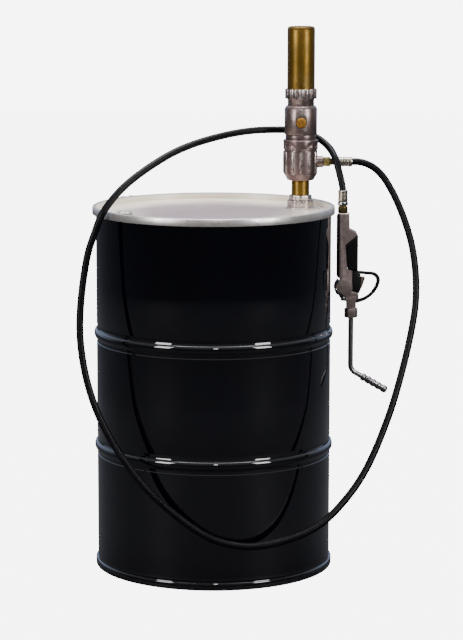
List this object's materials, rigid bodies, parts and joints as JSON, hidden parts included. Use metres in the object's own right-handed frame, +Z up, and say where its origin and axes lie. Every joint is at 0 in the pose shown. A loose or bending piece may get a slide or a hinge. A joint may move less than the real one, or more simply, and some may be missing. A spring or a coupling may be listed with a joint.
{
  "type": "fluid transfer pump",
  "caption": "Air-operated oil transfer pump in the bung of a black steel drum, with a long black delivery hose and a hanging dispensing gun with bent spout.",
  "frame": {"origin": "on the floor, midway between the left and right and the front and back limits of the set without its hose", "axes": "+Z up, +X towards the pump's outlet and the gun, -Y towards the front, where the hose hangs before the drum"},
  "size_m": [0.8295, 0.6029, 1.319],
  "materials": {
    "drum_paint": "gloss black enamel with a blue tint",
    "lid_paint": "semi-gloss cream enamel",
    "zinc_plate": "bright zinc plate",
    "adaptor_zinc": "zinc-plated steel",
    "seal_rubber": "matt black rubber",
    "gold_chromate": "yellow chromate over zinc plate",
    "bare_steel": "bare steel",
    "polished_rod": "hard chrome",
    "cast_aluminium": "machined aluminium casting",
    "brass": "dull brass",
    "sintered_bronze": "porous sintered bronze",
    "nickel_plate": "nickel plate",
    "hose_rubber": "smooth black hose cover",
    "gun_aluminium": "die-cast aluminium",
    "black_plastic": "black glass-filled nylon",
    "trigger_metal": "bronze-grey plated steel",
    "spout_plate": "dark nickel plate",
    "seal_plastic": "white polyethylene"
  },
  "bodies": {
    "base": {"drum_shell": "drum_paint", "drum_bottom": "drum_paint", "drum_lid": "lid_paint", "lid_gasket": "seal_rubber", "closing_ring": "zinc_plate", "ring_lug_plain": "zinc_plate", "ring_lug_threaded": "zinc_plate", "ring_bolt": "zinc_plate", "ring_nut": "zinc_plate", "bung_flange": "zinc_plate", "vent_flange": "zinc_plate", "bung_adaptor": "adaptor_zinc", "adaptor_clamp_nut": "adaptor_zinc", "adaptor_seal": "seal_rubber", "suction_tube": "gold_chromate", "foot_valve_body": "zinc_plate", "strainer": "bare_steel", "ball_stop_pin": "bare_steel", "outlet_body": "cast_aluminium", "rod_gland": "brass", "outlet_nipple": "brass", "motor_base": "cast_aluminium", "air_inlet_nipple": "nickel_plate", "motor_ring": "cast_aluminium", "valve_body": "cast_aluminium", "muffler": "sintered_bronze", "cylinder_collar": "cast_aluminium", "air_cylinder": "gold_chromate", "cylinder_cap": "gold_chromate", "delivery_hose": "hose_rubber", "hose_ferrule_pump": "nickel_plate", "hose_ferrule_gun": "nickel_plate"},
    "vent_plug": {"vent_plug": "zinc_plate", "vent_gasket": "seal_rubber"},
    "pump_rod": {"pump_piston": "bare_steel", "piston_seal": "seal_plastic", "piston_rod": "polished_rod", "air_piston": "cast_aluminium", "air_piston_seal": "seal_rubber"},
    "piston_ball": {"piston_ball": "bare_steel"},
    "foot_ball": {"foot_ball": "bare_steel"},
    "valve_spool": {"valve_spool": "bare_steel"},
    "gun": {"swivel_collar": "polished_rod", "gun_inlet_fitting": "brass", "gun_body": "gun_aluminium", "grip_cover": "black_plastic", "handle_insert": "black_plastic", "head_bumper": "black_plastic", "bumper_screw": "bare_steel", "trigger_guard": "black_plastic", "trigger_pin": "bare_steel", "valve_spring": "bare_steel", "valve_cap": "brass", "spout_nut": "gun_aluminium", "spout_tube": "spout_plate"},
    "trigger": {"trigger": "trigger_metal"},
    "valve_stem": {"valve_stem": "bare_steel"},
    "nozzle_sleeve": {"nozzle_sleeve": "spout_plate"}
  },
  "joints": [
    {"name": "pump_stroke", "type": "slide", "parent": "base", "child": "pump_rod", "axis": [0, 0, 1], "range_m": [0, 0.075]},
    {"name": "piston_ball_lift", "type": "slide", "parent": "pump_rod", "child": "piston_ball", "axis": [0, 0, 1], "range_m": [0, 0.006]},
    {"name": "foot_ball_lift", "type": "slide", "parent": "base", "child": "foot_ball", "axis": [0, 0, 1], "range_m": [0, 0.004]},
    {"name": "spool_shift", "type": "slide", "parent": "base", "child": "valve_spool", "axis": [0, 0, 1], "range_m": [0, 0.012]},
    {"name": "vent_plug_lift", "type": "slide", "parent": "base", "child": "vent_plug", "axis": [0, 0, 1], "range_m": [0, 0.03]},
    {"name": "gun_swivel", "type": "hinge", "parent": "base", "child": "gun", "pos_m": [0.2485, 0.033, 0.886], "axis": [0, 0, 1], "range_deg": [-90, 90]},
    {"name": "trigger_pull", "type": "hinge", "parent": "gun", "child": "trigger", "pos_m": [0.2815, 0.033, 0.662], "axis": [0, -1, 0], "range_deg": [0, 14], "stiffness_Nm_per_rad": 2, "springref_deg": -11.46},
    {"name": "valve_stem_slide", "type": "slide", "parent": "gun", "child": "valve_stem", "axis": [-1, 0, 0], "range_m": [0, 0.0056], "deforming": ["valve_spring"]},
    {"name": "nozzle_twist", "type": "hinge", "parent": "gun", "child": "nozzle_sleeve", "pos_m": [0.2825, 0.033, 0.4682], "axis": [0.866, 0, -0.5], "range_deg": [0, 90]}
  ],
  "couplings": [
    {"joint": "valve_stem_slide", "follows": "trigger_pull", "m_per_rad": 0.022}
  ]
}
